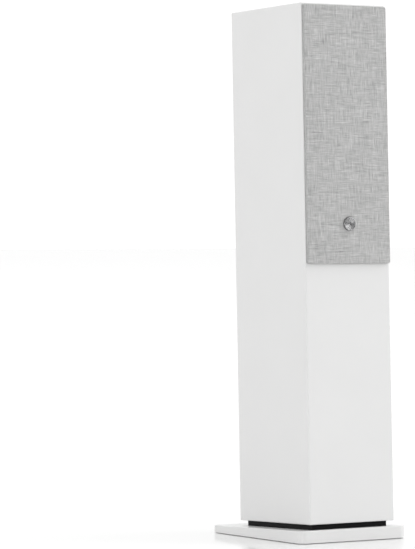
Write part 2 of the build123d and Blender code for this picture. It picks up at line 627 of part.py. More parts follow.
def grille():
    keep("grille_frame", grille_frame())
    keep("grille_cloth", grille_cloth())
    keep("grille_badge", grille_badge())
    discs = [rod(MAGNET_DISC_R, x, GRILLE_BACK_Y - MAGNET_DISC_T, GRILLE_BACK_Y, z)
             for x, z in magnet_places()]
    keep("grille_magnets", *discs)


# ---- amplifier on the back ----------------------------------------------------------
AMP_BACK = BACK + AMP_T                     # outer face of the amplifier panel
SINK_Z = AMP_Z + AMP_H / 2 - AMP_LAP - 6 - SINK_H / 2
CONTROL_Z = SINK_Z - SINK_H / 2 - 24
SIGNAL_Z = CONTROL_Z - 32
POWER_Z = SIGNAL_Z - 38
CONTROL_X = 27.0
SIGNAL_X = (-36.0, -18.0)
ROCKER_X = -25.0
INLET_X = 22.0
ROCKER_R = 8.6
ROCKER_TILT = 10.0
ROCKER_PIVOT_Y = AMP_BACK - 1.5
HOUSE_W = AMP_W / 2 - AMP_LAP - 1
HOUSE_H = AMP_H / 2 - AMP_LAP - 1


def amp_panel():
    panel = slab(AMP_W, AMP_H, 4, BACK, AMP_BACK, AMP_Z)
    panel = chamfer(panel.faces().sort_by(Axis.Y)[-1].edges(), 0.5)
    for x, z in amp_screw_places():
        panel -= rod(AMP_SCREW_R, x, BACK - 1, AMP_BACK + 1, z)
    panel -= rod(BUSH_R, -CONTROL_X, BACK - 1, AMP_BACK + 1, CONTROL_Z)
    panel -= rod(BUTTON_R + MOVING_GAP, CONTROL_X, BACK - 1, AMP_BACK + 1, CONTROL_Z)
    for x in SIGNAL_X:
        panel -= rod(SOCKET_R, x, BACK - 1, AMP_BACK + 1, SIGNAL_Z)
    panel -= block(ROCKER_X - ROCKER_W / 2 - 1.5, ROCKER_X + ROCKER_W / 2 + 1.5, BACK - 1, AMP_BACK + 1,
                   POWER_Z - ROCKER_H / 2 - 1.5, POWER_Z + ROCKER_H / 2 + 1.5)
    panel -= block(INLET_X - INLET_W / 2, INLET_X + INLET_W / 2, BACK - 1, AMP_BACK + 1,
                   POWER_Z - INLET_H / 2, POWER_Z + INLET_H / 2)
    return panel


def amp_housing():
    """A tray behind the panel that seals the electronics from the bass box."""
    front, back = BACK - HOUSING_DEPTH, BACK
    tray = block(-HOUSE_W, HOUSE_W, front, back, AMP_Z - HOUSE_H, AMP_Z + HOUSE_H)
    inner_w, inner_h = HOUSE_W - HOUSING_WALL, HOUSE_H - HOUSING_WALL
    return tray - block(-inner_w, inner_w, front + HOUSING_WALL, back + 1, AMP_Z - inner_h, AMP_Z + inner_h)


def amp_board():
    """The circuit board on four pillars that stand on the housing's floor."""
    front = BACK - HOUSING_DEPTH + HOUSING_WALL
    board_y = front + BOARD_GAP
    half_w, half_h = HOUSE_W - HOUSING_WALL - 3, HOUSE_H - HOUSING_WALL - 3
    board = block(-half_w, half_w, board_y, board_y + BOARD_T, AMP_Z - half_h, AMP_Z + half_h)
    for x in (-half_w + 5, half_w - 5):
        for z in (AMP_Z - half_h + 5, AMP_Z + half_h - 5):
            board += rod(3, x, front, board_y + 0.5, z)
    return board


def amp_components():
    """Transformer and two reservoir capacitors, each standing on the board."""
    board_back = BACK - HOUSING_DEPTH + HOUSING_WALL + BOARD_GAP + BOARD_T
    core = block(-30, 6, board_back, board_back + 22, SINK_Z - 30, SINK_Z + 12)
    core -= block(-24, 0, board_back + 22 - 3, board_back + 23, SINK_Z - 24, SINK_Z + 6)
    cans = [rod(9, 24, board_back, board_back + 24, z) for z in (SINK_Z - 22, SINK_Z + 4)]
    return [core] + cans


def heat_sink():
    half_w = AMP_W / 2 - AMP_LAP - 4
    base = AMP_BACK + 3.0
    low, high = SINK_Z - SINK_H / 2, SINK_Z + SINK_H / 2
    sink = block(-half_w, half_w, AMP_BACK, base, low, high)
    fin_t = 2.0
    step = (2 * half_w - fin_t) / (SINK_FINS - 1)
    for n in range(SINK_FINS):
        x = -half_w + n * step
        sink += block(x, x + fin_t, base - 0.5, AMP_BACK + SINK_PROUD, low, high)
    return sink


def gain_control():
    """The rotary control's body and its bush, which comes through the panel."""
    body = rod(8, -CONTROL_X, BACK - 9, BACK, CONTROL_Z)
    body += rod(BUSH_R, -CONTROL_X, BACK - 1, AMP_BACK + 1, CONTROL_Z)
    return body - rod(SHAFT_R + SHAFT_CLEAR, -CONTROL_X, BACK - 8, AMP_BACK + 2, CONTROL_Z)


def gain_knob():
    front = AMP_BACK + 1.5
    knob = rod(KNOB_R, -CONTROL_X, front, front + KNOB_H, CONTROL_Z)
    knob = chamfer(knob.edges().sort_by(Axis.Y)[-1], 0.8)
    for step in range(24):
        groove = rod(0.5, KNOB_R, front + 2, front + KNOB_H + 1, 0)
        knob -= Pos(-CONTROL_X, 0, CONTROL_Z) * Rot(0, 15 * step + 7.5, 0) * groove
    mark = block(-0.5, 0.5, front + KNOB_H - 0.6, front + KNOB_H + 1, KNOB_R * 0.35, KNOB_R)
    knob -= Pos(-CONTROL_X, 0, CONTROL_Z) * mark
    return knob + rod(SHAFT_R, -CONTROL_X, BACK - 7, front + 1, CONTROL_Z)


def pair_button():
    """A plunger with a collar that stops it against the panel's inner face."""
    out = AMP_BACK + BUTTON_PROUD
    button = rod(BUTTON_R, CONTROL_X, BACK - 4, out, CONTROL_Z)
    button = chamfer(button.edges().sort_by(Axis.Y)[-1], 0.5)
    return button + rod(BUTTON_R + 1.2, CONTROL_X, BACK - 4, BACK - 3, CONTROL_Z)


def button_switch():
    """The switch body behind the button, with a guide for its stem."""
    body = block(CONTROL_X - 6.5, CONTROL_X + 6.5, BACK - 12, BACK, CONTROL_Z - 6.5, CONTROL_Z + 6.5)
    well_floor = BACK - 4 - BUTTON_TRAVEL - 0.2
    return body - rod(BUTTON_R + 1.2 + MOVING_GAP, CONTROL_X, well_floor, BACK + 1, CONTROL_Z)


def signal_socket(x):
    socket = rod(SOCKET_R, x, BACK - 8, AMP_BACK + 9, SIGNAL_Z)
    hex_nut = extrude(Rot(90, 0, 0) * RegularPolygon(SOCKET_R + 1.8, 6), 2.0)
    socket += Pos(x, AMP_BACK + 2.0, SIGNAL_Z) * hex_nut
    return socket - rod(PIN_HOLE_R, x, AMP_BACK - 3, AMP_BACK + 10, SIGNAL_Z)


def mains_inlet():
    """A recessed two-pole inlet; its rounded well is open to the back."""
    body = block(INLET_X - INLET_W / 2, INLET_X + INLET_W / 2, BACK - 16, AMP_BACK + 0.5,
                 POWER_Z - INLET_H / 2, POWER_Z + INLET_H / 2)
    body += slab(INLET_W + 5, INLET_H + 5, 3, AMP_BACK, AMP_BACK + 1.5, POWER_Z, INLET_X)
    well_w, well_h = INLET_W - 5, INLET_H - 6
    return body - slab(well_w, well_h, well_h / 2 - 0.01, AMP_BACK + 2, BACK - 12, POWER_Z, INLET_X)


def mains_pins():
    return [rod(1.2, INLET_X + side * 4.3, BACK - 12, BACK - 2, POWER_Z) for side in (-1, 1)]


def switch_housing():
    body = block(ROCKER_X - ROCKER_W / 2 - 1.5, ROCKER_X + ROCKER_W / 2 + 1.5, BACK - 14, AMP_BACK,
                 POWER_Z - ROCKER_H / 2 - 1.5, POWER_Z + ROCKER_H / 2 + 1.5)
    body += slab(ROCKER_W + 6, ROCKER_H + 6, 2, AMP_BACK, AMP_BACK + 1.2, POWER_Z, ROCKER_X)
    well = Pos(ROCKER_X, ROCKER_PIVOT_Y, POWER_Z) * Rot(0, 90, 0) * Cylinder(ROCKER_R + MOVING_GAP, ROCKER_W)
    body -= well
    half_w, half_h = ROCKER_W / 2, ROCKER_R + MOVING_GAP
    body -= block(ROCKER_X - half_w, ROCKER_X + half_w, ROCKER_PIVOT_Y, AMP_BACK + 2,
                  POWER_Z - half_h, POWER_Z + half_h)
    axle = Rot(0, 90, 0) * Cylinder(AXLE_R + SHAFT_CLEAR, ROCKER_W + 2)
    return body - Pos(ROCKER_X, ROCKER_PIVOT_Y, POWER_Z) * axle


def power_rocker():
    """A round-backed rocker with two sloping faces, resting on its lower half."""
    width = ROCKER_W - 2 * MOVING_GAP
    rocker = Rot(0, 90, 0) * Cylinder(ROCKER_R, width)
    for side in (-1, 1):
        cut = Pos(0, 3.4 + 10, 0) * Box(width + 2, 20, 40)
        half = block(-width, width, -30, 30, 0, 30) if side > 0 else block(-width, width, -30, 30, -30, 0)
        rocker -= (Rot(side * ROCKER_TILT, 0, 0) * cut) & half
    rocker += Rot(0, 90, 0) * Cylinder(AXLE_R, ROCKER_W + 1.6)
    return Pos(ROCKER_X, ROCKER_PIVOT_Y, POWER_Z) * Rot(ROCKER_TILT, 0, 0) * rocker


def port_tube():
    """A tube with a flared mouth that sits on the rear panel."""
    inner, outer = PORT_R, PORT_R + PORT_WALL
    mouth = BACK + 3.0
    outline = [Line((inner, BACK - PORT_L), (outer, BACK - PORT_L)),
               Line((outer, BACK - PORT_L), (outer, BACK)), Line((outer, BACK), (FLARE_R, BACK)),
               Line((FLARE_R, BACK), (FLARE_R, BACK + 1.2)),
               ThreePointArc((FLARE_R, BACK + 1.2), (FLARE_R - 1.2, mouth - 0.3), (FLARE_R - 4, mouth)),
               ThreePointArc((FLARE_R - 4, mouth), (inner + 2.4, BACK - 1.5), (inner, BACK - 12)),
               Line((inner, BACK - 12), (inner, BACK - PORT_L))]
    return turned(outline, PORT_Z)


def wire(x, y, start_z, end_y, end_z):
    """A lead that rises from the housing and turns forward to a driver's tag."""
    bend = 0.45 * min(end_z - start_z, y - end_y)
    path = FilletPolyline((x, y, start_z), (x, y, end_z), (x, end_y, end_z), radius=min(bend, 30))
    return sweep(Pos(x, y, start_z) * Circle(WIRE_R), path=path)


def wiring():
    start = AMP_Z + HOUSE_H
    tag_y = LEDGE_Y + 1
    lower = wire(TAG_X, 44, start, tag_y, LOWER_WOOFER_Z - TAG_DROP)
    upper = wire(TAG_X, 52, start, tag_y, UPPER_WOOFER_Z - TAG_DROP)
    top = wire(TWEETER_LEAD_X, 48, start, TWEETER_YOKE_Y + 7, TWEETER_Z)
    return [lower, upper, top]


# ---- build --------------------------------------------------------------------------
def build():
    envelope = cabinet_envelope()
    keep("front_baffle", front_baffle(envelope))
    keep("cabinet_carcass", cabinet_carcass(envelope))
    keep("rear_panel", rear_panel())
    keep("upper_brace", window_brace((WOOFERS["upper"] + WOOFERS["lower"]) / 2))
    keep("lower_brace", window_brace(LOWER_BRACE_Z))
    keep("acoustic_wadding", wadding(WOOFERS["upper"] - 40, TOP - WALL_T - 8),
         wadding(LOWER_BRACE_Z + 12, PORT_Z - FLARE_R - 8))
    keep("back_screws",
         *[screw(x, BACK, z, 3.0, 1.6, REAR_SCREW_R, REAR_T + REAR_SCREW_BITE, -1)
           for x, z in rear_screw_places()],
         *[screw(x, AMP_BACK, z, 3.0, 1.6, AMP_SCREW_R, AMP_T + AMP_SCREW_BITE, -1)
           for x, z in amp_screw_places()])
    keep("baffle_steel_discs", *[rod(MAGNET_DISC_R, x, FRONT + 1, FRONT + 1 + MAGNET_DISC_T, z)
                                 for x, z in magnet_places()])
    keep("spacer_block", spacer_block())
    PARTS["plinth"] = [plinth()]
    PARTS["plinth_pads"] = [post(PAD_R, x, y, 0, FLOOR_GAP + PAD_POCKET) for x, y in pad_places()]
    keep("plinth_bolts", *[plinth_bolt(x, y) for x, y in bolt_places()])
    keep("plinth_inserts", *[post(INSERT_R, x, y, BASE, BASE + INSERT_L)
                             - post(INSERT_BORE_R, x, y, BASE - 1, BASE + INSERT_L + 1)
                             for x, y in bolt_places()])
    tweeter()
    for name, z in WOOFERS.items():
        woofer(name, z)
    flange_back = FLANGE_Y + FLANGE_T
    chassis_back = INNER_FRONT + 3.0
    keep("driver_screws",
         *[screw(x, flange_back, z + dz, 3.0, 2.0, WOOFER_SCREW_R, FLANGE_T + WOOFER_SCREW_BITE, -1)
           for z in WOOFERS.values() for x, dz in square_places(WOOFER_SCREW_X)],
         *[screw(x, chassis_back, TWEETER_Z + dz, 2.4, 1.6, TWEETER_SCREW_R, 3.0 + TWEETER_SCREW_BITE, -1)
           for x, dz in square_places(TWEETER_SCREW_RING * sin(pi / 4))])
    grille()
    keep("port_tube", port_tube())
    keep("amp_panel", amp_panel())
    keep("amp_housing", amp_housing())
    keep("amp_board", amp_board())
    keep("amp_components", *amp_components(), gain_control(), button_switch())
    keep("heat_sink", heat_sink())
    keep("gain_knob", gain_knob())
    keep("pair_button", pair_button())
    keep("signal_sockets", *[signal_socket(x) for x in SIGNAL_X])
    keep("mains_inlet", mains_inlet(), *mains_pins())
    keep("power_switch_housing", switch_housing())
    keep("power_rocker", power_rocker())
    keep("driver_leads", *wiring())


build()
os.makedirs("parts", exist_ok=True)
for name, solids in PARTS.items():
    pieces = [piece for solid in solids for piece in solid.solids()]
    shape = pieces[0] if len(pieces) == 1 else Compound(label=name, children=pieces)
    export_step(shape, os.path.join("parts", name + ".step"))
    print(name, len(pieces), "solids", round(sum(piece.volume for piece in pieces) / 1000, 2), "cm3")
print(len(PARTS), "nodes")
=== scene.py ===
# %% [markdown]
# # A floorstanding loudspeaker
#
# The real object is a slim white tower that leans back a little on a wedge-shaped plinth.
# A light grey cloth grille covers two woofers and a dome tweeter. The hard parts come from
# a CAD model, which is loaded as a fixed frame. This lesson gives that frame its lacquer,
# metal, paper and rubber, and adds the pieces that CAD only stands in for: the stretched
# cloth, the rolled rubber edges, the paper cones and the turned badge.

# %% Load the CAD frame
from math import cos, pi, radians, sin

import bmesh
import bpy
from mathutils import Matrix, Vector


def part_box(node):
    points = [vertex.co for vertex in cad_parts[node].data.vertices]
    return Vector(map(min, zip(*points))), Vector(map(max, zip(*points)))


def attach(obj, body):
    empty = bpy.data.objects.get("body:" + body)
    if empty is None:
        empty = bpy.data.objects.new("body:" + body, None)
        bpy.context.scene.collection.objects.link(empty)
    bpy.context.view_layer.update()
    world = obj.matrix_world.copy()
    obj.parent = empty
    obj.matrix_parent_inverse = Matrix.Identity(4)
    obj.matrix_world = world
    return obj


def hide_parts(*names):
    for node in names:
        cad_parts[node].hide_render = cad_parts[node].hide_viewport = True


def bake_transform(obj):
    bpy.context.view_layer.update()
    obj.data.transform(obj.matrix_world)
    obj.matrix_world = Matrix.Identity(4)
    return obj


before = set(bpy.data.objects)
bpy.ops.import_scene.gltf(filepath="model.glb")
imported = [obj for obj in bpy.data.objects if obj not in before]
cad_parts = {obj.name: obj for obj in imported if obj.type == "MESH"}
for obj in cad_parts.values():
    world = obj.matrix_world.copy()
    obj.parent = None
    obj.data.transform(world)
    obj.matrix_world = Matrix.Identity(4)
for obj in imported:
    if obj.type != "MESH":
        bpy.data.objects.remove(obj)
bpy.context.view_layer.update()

# %% [markdown]
# ## The tower's own frame
#
# Every piece of the tower leans back by the same small angle. It is easier to shape a piece
# upright, with its axis along Y, and to lean it back as the last step, so one matrix holds
# the lean and its inverse gives the size of a CAD node as the maker would measure it.

# %% The lean, and how to measure a node in the upright frame
MM = 0.001
LEAN = radians(1.9)
PLINTH_TOP = 19 * MM
BAFFLE_TO_PLINTH = 95.5 * MM

plinth_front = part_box("plinth")[0].y
LEANED = (
    Matrix.Translation((0, plinth_front, PLINTH_TOP))
    @ Matrix.Rotation(-LEAN, 4, "X")
    @ Matrix.Translation((0, BAFFLE_TO_PLINTH, 0))
)
UPRIGHT = LEANED.inverted()


def upright_box(node):
    """Lowest and highest corner of a CAD node, measured in the upright frame."""
    points = [UPRIGHT @ vertex.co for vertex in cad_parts[node].data.vertices]
    return Vector(map(min, zip(*points))), Vector(map(max, zip(*points)))


baffle_low, baffle_high = upright_box("front_baffle")
print("baffle:", [round((b - a) / MM, 1) for a, b in zip(baffle_low, baffle_high)], "mm")

# %% [markdown]
# ## Writing shader maths as sums
#
# A material in Blender is a tree of nodes joined by wires. Adding the nodes by hand is long
# and hard to read. The small class below wraps one socket, so that `1 - mask * 0.5` adds
# the Math nodes itself, and one method adds any other node: first its settings, then the
# values or wires of its sockets.


# %% The Wire class
class Wire:
    """One output socket of a material, which can be used in ordinary sums."""

    def __init__(self, tree, socket=None):
        self.tree = tree
        self.socket = socket

    def node(self, kind, settings, sockets, output=0):
        """Adds a node, sets it up, feeds its sockets and returns one of its outputs."""
        made = self.tree.nodes.new(kind)
        for name, value in settings.items():
            if name == "stops":
                ramp = made.color_ramp.elements
                while len(ramp) < len(value):
                    ramp.new(0.5)
                for stop, (place, shade) in zip(ramp, value):
                    stop.position = place
                    stop.color = (shade, shade, shade, 1)
            else:
                setattr(made, name, value)
        for name, value in sockets.items():
            if isinstance(value, Wire):
                self.tree.links.new(value.socket, made.inputs[name])
            else:
                made.inputs[name].default_value = value
        return Wire(self.tree, made.outputs[output] if made.outputs else None)

    def sum(self, operation, left, right):
        return self.node("ShaderNodeMath", {"operation": operation}, {0: left, 1: right})

    def __add__(self, other):
        return self.sum("ADD", self, other)

    def __radd__(self, other):
        return self.sum("ADD", other, self)

    def __sub__(self, other):
        return self.sum("SUBTRACT", self, other)

    def __rsub__(self, other):
        return self.sum("SUBTRACT", other, self)

    def __mul__(self, other):
        return self.sum("MULTIPLY", self, other)

    def __rmul__(self, other):
        return self.sum("MULTIPLY", other, self)


# %% [markdown]
# ## Helpers that every finish shares
#
# A finish on a real product is never one flat number: lacquer has a faint orange peel,
# moulded plastic a fine grain, paper its fibres. Each finish here reads the piece's own
# coordinates, in metres, so the grain has a real size and moves with the piece.


# %% Coordinates, noise, two-colour mixes and bumps
def start_finish(name):
    """An empty material, and a wire to add its nodes with."""
    material = bpy.data.materials.new(name + "_finish")
    material.use_nodes = True
    material.node_tree.nodes.clear()
    return material, Wire(material.node_tree)


def place_on(wire, stretch=(1, 1, 1)):
    """The piece's own coordinates, stretched for a pattern."""
    place = wire.node("ShaderNodeTexCoord", {}, {}, "Object")
    return wire.node("ShaderNodeMapping", {}, {"Vector": place, "Scale": stretch})


def noise(wire, place, size_mm, detail=2.0, rough=0.5):
    """Smooth noise whose blobs are about size_mm across."""
    sockets = {"Vector": place, "Scale": 1 / (size_mm * MM), "Detail": detail, "Roughness": rough}
    return wire.node("ShaderNodeTexNoise", {}, sockets, "Fac")


def two_tone(wire, mask, dark, light):
    """A colour that runs from dark to light as the mask goes from 0 to 1."""
    sockets = {0: mask, 6: (*dark, 1), 7: (*light, 1)}
    return wire.node("ShaderNodeMix", {"data_type": "RGBA", "clamp_factor": True}, sockets, 2)


def bumps(wire, height, depth_mm, strength=1.0):
    """A normal that leans as if the height, from 0 to 1, stood depth_mm proud."""
    sockets = {"Height": height, "Strength": strength, "Distance": depth_mm * MM}
    return wire.node("ShaderNodeBump", {}, sockets, "Normal")


def coat_on(material, wire, sockets):
    """Ends a finish: one shader, its sockets, and the material's output."""
    skin = wire.node("ShaderNodeBsdfPrincipled", {}, sockets, "BSDF")
    wire.node("ShaderNodeOutputMaterial", {}, {"Surface": skin})
    return material


# %% [markdown]
# ## Lacquer
#
# The cabinet and plinth are fibreboard under a sprayed satin white lacquer; the spacer
# between them is the same in black. Sprayed lacquer shows two things up close: an orange
# peel a few millimetres across, and a thin clear top layer that mirrors lights more
# sharply than the colour below. So the bump is very shallow, and the white has a clear
# coat. The black has none and little gloss, because it hardly mirrors the white studio.


# %% Two lacquers
def lacquer(name, dark, light, roughness, coat, gloss=0.5):
    material, wire = start_finish(name)
    place = place_on(wire)
    cloud = noise(wire, place, 90, 3.0)
    peel = noise(wire, place, 2.2, 2.0)
    return coat_on(material, wire, {
        "Base Color": two_tone(wire, cloud, dark, light),
        "Roughness": roughness + cloud * 0.05,
        "Specular IOR Level": gloss,
        "Coat Weight": coat,
        "Coat Roughness": 0.14,
        "Normal": bumps(wire, peel, 0.03, 0.35),
    })


WHITE_DARK, WHITE_LIGHT = (0.715, 0.715, 0.713), (0.745, 0.745, 0.742)
BLACK_DARK, BLACK_LIGHT = (0.004, 0.004, 0.0043), (0.007, 0.007, 0.0073)
finishes = {
    "white_lacquer": lacquer("white_lacquer", WHITE_DARK, WHITE_LIGHT, 0.34, 0.35),
    "black_lacquer": lacquer("black_lacquer", BLACK_DARK, BLACK_LIGHT, 0.45, 0.0, 0.10),
}
print("lacquers:", sorted(finishes))

# %% [markdown]
# ## Woven grille cloth
#
# Speaker cloth is a thin plain weave: each thread goes over one neighbour and under the
# next. The pattern follows the sheet, so it reads a UV map in metres. Two sine waves give
# the round threads, and their product says which thread is on top. The yarn is never quite
# even: some threads are lighter for a few centimetres, so noise that is stretched along
# each thread adds light and dark streaks, and a third noise picks which way they run.

# %% The weave
THREAD_MM = 0.85
YARN_MM = 1.3
ALONG_THREAD = 0.06
PATCH_MM = 11
material, wire = start_finish("grille_cloth")
sheet_uv = wire.node("ShaderNodeUVMap", {"uv_map": "cut"}, {})
across = wire.node("ShaderNodeSeparateXYZ", {}, {"Vector": sheet_uv}, "X")
along = wire.node("ShaderNodeSeparateXYZ", {}, {"Vector": sheet_uv}, "Y")
wobble = noise(wire, place_on(wire), 6.0, 2.0) * (0.5 * THREAD_MM * MM)
weft_yarn = noise(wire, place_on(wire, stretch=(ALONG_THREAD, 1, 1)), YARN_MM, 2.0, 0.7)
warp_yarn = noise(wire, place_on(wire, stretch=(1, 1, ALONG_THREAD)), YARN_MM, 2.0, 0.7)
turns = pi / (THREAD_MM * MM)
warp = wire.sum("SINE", (across + wobble) * turns, 0.0)
weft = wire.sum("SINE", (along - wobble) * turns, 0.0)
on_top = wire.sum("GREATER_THAN", warp * weft, 0.0)
warp_round = wire.sum("ABSOLUTE", warp, 0.0)
weft_round = wire.sum("ABSOLUTE", weft, 0.0)
threads = warp_round * on_top + weft_round * (1 - on_top)
either = noise(wire, place_on(wire), PATCH_MM, 2.0)
chosen = wire.node("ShaderNodeMapRange", {"interpolation_type": "SMOOTHSTEP"},
                   {"Value": either, "From Min": 0.35, "From Max": 0.65,
                    "To Min": 0.25, "To Max": 0.75})
yarn = weft_yarn * chosen + warp_yarn * (1 - chosen)
# The thread term paints each crown lighter and each gap darker: partly painted light and shade on the
# round threads, partly the black frame seen through the gaps.
tone = yarn * 2.4 + threads * 0.12 - 0.76
finishes["grille_cloth"] = coat_on(material, wire, {
    "Base Color": two_tone(wire, tone, (0.255, 0.255, 0.255), (0.615, 0.615, 0.61)),
    "Roughness": 0.85,
    "Sheen Weight": 0.15,
    "Sheen Roughness": 0.5,
    "Normal": bumps(wire, threads + yarn * 0.4, 0.22, 0.6),
})
print("cloth threads are", THREAD_MM, "mm apart")

# %% [markdown]
# ## Metals
#
# The badge was turned on a lathe, which leaves fine rings round its axis; they stretch each
# highlight into a bow tie. A true anisotropic shader needs a tangent, which does not
# survive an export, so the rings are a bump made from the distance to the centre. Cast,
# plated and anodised metals are simpler: a base tone, a grain and a suitable roughness.


# %% Turned, plated and coated metal
def upright_centre(node):
    low, high = upright_box(node)
    return (low + high) / 2


def rings_round(wire, centre, pitch_mm):
    """Fine turned rings round a centre that is given in the upright frame."""
    settings = {"operation": "DISTANCE"}
    place = wire.node("ShaderNodeTexCoord", {}, {}, "Object")
    radius = wire.node("ShaderNodeVectorMath", settings, {0: place, 1: LEANED @ centre}, "Value")
    return wire.sum("SINE", radius * (2 * pi / (pitch_mm * MM)), 0.0) * 0.5 + 0.5


def metal(name, dark, light, roughness, grain_mm, depth_mm, metallic):
    material, wire = start_finish(name)
    place = place_on(wire)
    grain = noise(wire, place, grain_mm, 3.0, 0.6)
    patches = noise(wire, place, grain_mm * 14, 2.0)
    return coat_on(material, wire, {
        "Base Color": two_tone(wire, grain * 0.5 + patches * 0.5, dark, light),
        "Metallic": metallic,
        "Roughness": roughness - 0.08 + patches * 0.16,
        "Normal": bumps(wire, grain, depth_mm, 0.5),
    })


LATHE_PITCH_MM = 0.42
material, wire = start_finish("turned_metal")
badge_centre = upright_centre("grille_badge")
lathe_rings = rings_round(wire, badge_centre, LATHE_PITCH_MM)
finishes["turned_metal"] = coat_on(material, wire, {
    "Base Color": two_tone(wire, lathe_rings, (0.17, 0.17, 0.175), (0.30, 0.30, 0.30)),
    "Metallic": 1.0,
    "Roughness": 0.17 + lathe_rings * 0.05,
    "Normal": bumps(wire, lathe_rings, 0.05, 0.9),
})
METALS = {
    "graphite_plate": ((0.105, 0.105, 0.108), (0.150, 0.150, 0.153), 0.52, 0.35, 0.03, 0.35),
    "cast_basket": ((0.03, 0.03, 0.03), (0.06, 0.06, 0.06), 0.55, 0.9, 0.05, 0.3),
    "ferrite": ((0.05, 0.05, 0.055), (0.10, 0.10, 0.105), 0.62, 0.6, 0.04, 0.2),
    "plated_steel": ((0.52, 0.52, 0.50), (0.66, 0.66, 0.64), 0.30, 0.8, 0.01, 1.0),
    "copper_coil": ((0.55, 0.24, 0.10), (0.76, 0.38, 0.18), 0.32, 0.3, 0.05, 1.0),
    "black_steel": ((0.030, 0.030, 0.032), (0.055, 0.055, 0.058), 0.46, 0.45, 0.04, 0.2),
    "sink_aluminium": ((0.025, 0.025, 0.027), (0.050, 0.050, 0.052), 0.42, 0.25, 0.02, 0.6),
    "gilt_socket": ((0.66, 0.45, 0.16), (0.83, 0.62, 0.27), 0.24, 0.7, 0.01, 1.0),
}
for name, (dark, light, roughness, grain_mm, depth_mm, metallic) in METALS.items():
    finishes[name] = metal(name, dark, light, roughness, grain_mm, depth_mm, metallic)
print(len(finishes), "finishes so far")

# %% [markdown]
# ## Paper, rubber, plastic and the rest
#
# These differ mostly in how coarse the grain is and how matt it looks. One helper makes
# them all from a table, so that changing a finish is changing a row. A row holds the dark
# and the light tone, the roughness, the size and depth of the grain, the size of the
# blotches and, for the status light, its glow. The cones are coated paper pulp, the dust
# caps are a little lighter and smoother, and the surrounds are rubber with a faint bloom.


# %% A table of soft and moulded finishes
def grained(name, dark, light, roughness, grain_mm, depth_mm, blotch_mm, glow=0.0):
    material, wire = start_finish(name)
    place = place_on(wire)
    grain = noise(wire, place, grain_mm, 4.0, 0.65)
    blotch = noise(wire, place, blotch_mm, 3.0)
    return coat_on(material, wire, {
        "Base Color": two_tone(wire, grain * 0.55 + blotch * 0.45, dark, light),
        "Roughness": roughness - 0.05 + blotch * 0.1,
        "Emission Color": (*light, 1),
        "Emission Strength": glow,
        "Normal": bumps(wire, grain, depth_mm, 0.6),
    })


SOFT_AND_MOULDED = {
    "raw_fibreboard": ((0.42, 0.30, 0.18), (0.62, 0.48, 0.32), 0.9, 0.9, 0.15, 9),
    "grille_frame": ((0.022, 0.022, 0.023), (0.045, 0.045, 0.047), 0.6, 0.4, 0.03, 12),
    "charcoal_cone": ((0.010, 0.010, 0.011), (0.030, 0.030, 0.032), 0.34, 0.8, 0.04, 7),
    "dust_cap": ((0.066, 0.066, 0.069), (0.084, 0.084, 0.088), 0.30, 0.6, 0.012, 9),
    "soft_dome": ((0.030, 0.030, 0.031), (0.042, 0.042, 0.044), 0.8, 0.35, 0.04, 3),
    "rubber": ((0.024, 0.024, 0.025), (0.044, 0.044, 0.046), 0.42, 0.5, 0.02, 8),
    "spider_cloth": ((0.50, 0.33, 0.13), (0.68, 0.50, 0.26), 0.8, 0.5, 0.10, 6),
    "black_plastic": ((0.016, 0.016, 0.017), (0.034, 0.034, 0.036), 0.5, 0.5, 0.05, 15),
    "light_pipe": ((0.42, 0.45, 0.48), (0.50, 0.53, 0.56), 0.2, 0.5, 0.01, 2, 0.1),
    "wadding": ((0.62, 0.62, 0.60), (0.86, 0.86, 0.84), 1.0, 1.5, 0.60, 12),
    "circuit_board": ((0.02, 0.14, 0.06), (0.04, 0.26, 0.12), 0.4, 0.7, 0.03, 10),
    "lead_insulation": ((0.25, 0.03, 0.03), (0.38, 0.06, 0.06), 0.45, 0.6, 0.02, 10),
}
for name, row in SOFT_AND_MOULDED.items():
    finishes[name] = grained(name, *row)

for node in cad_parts.values():
    for slot in node.material_slots:
        slot.material = finishes[slot.material.name]
print(len(finishes), "finishes, on", len(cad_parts), "CAD nodes")

# %% [markdown]
# ## Turning round pieces
#
# Cones, caps, rolled edges and the badge are all turned about one axis, so each is a short
# outline that bmesh's spin sweeps round. The outline is written in millimetres as (radius,
# depth), with depth growing from front to back. A spin leaves doubled points where it
# closes and where the outline meets the axis, so those are merged before the faces are
# pointed outwards.

# %% Helpers for outlines and spinning
STEPS_ROUND = 96
CREASE = radians(38)
MERGE_MM = 0.001


def bowed(start, middle, end, count):
    """Points on a smooth curve that starts, passes the middle and ends as given."""
    a, m, b = Vector(start), Vector(middle), Vector(end)
    pull = m * 2 - (a + b) / 2
    shares = [n / count for n in range(count + 1)]
    return [tuple((1 - t) ** 2 * a + 2 * t * (1 - t) * pull + t * t * b) for t in shares]


def spin_outline(outline, closed):
    """A bmesh turned about the Y axis from (radius, depth) points in millimetres."""
    shape = bmesh.new()
    points = [shape.verts.new((radius, depth, 0)) for radius, depth in outline]
    pairs = list(zip(points, points[1:])) + ([(points[-1], points[0])] if closed else [])
    edges = [shape.edges.new(pair) for pair in pairs]
    bmesh.ops.spin(shape, geom=points + edges, cent=(0, 0, 0), axis=(0, 1, 0), dvec=(0, 0, 0),
                   angle=2 * pi, steps=STEPS_ROUND, use_merge=True, use_duplicate=False)
    bmesh.ops.remove_doubles(shape, verts=shape.verts, dist=MERGE_MM)
    bmesh.ops.recalc_face_normals(shape, faces=shape.faces)
    return shape


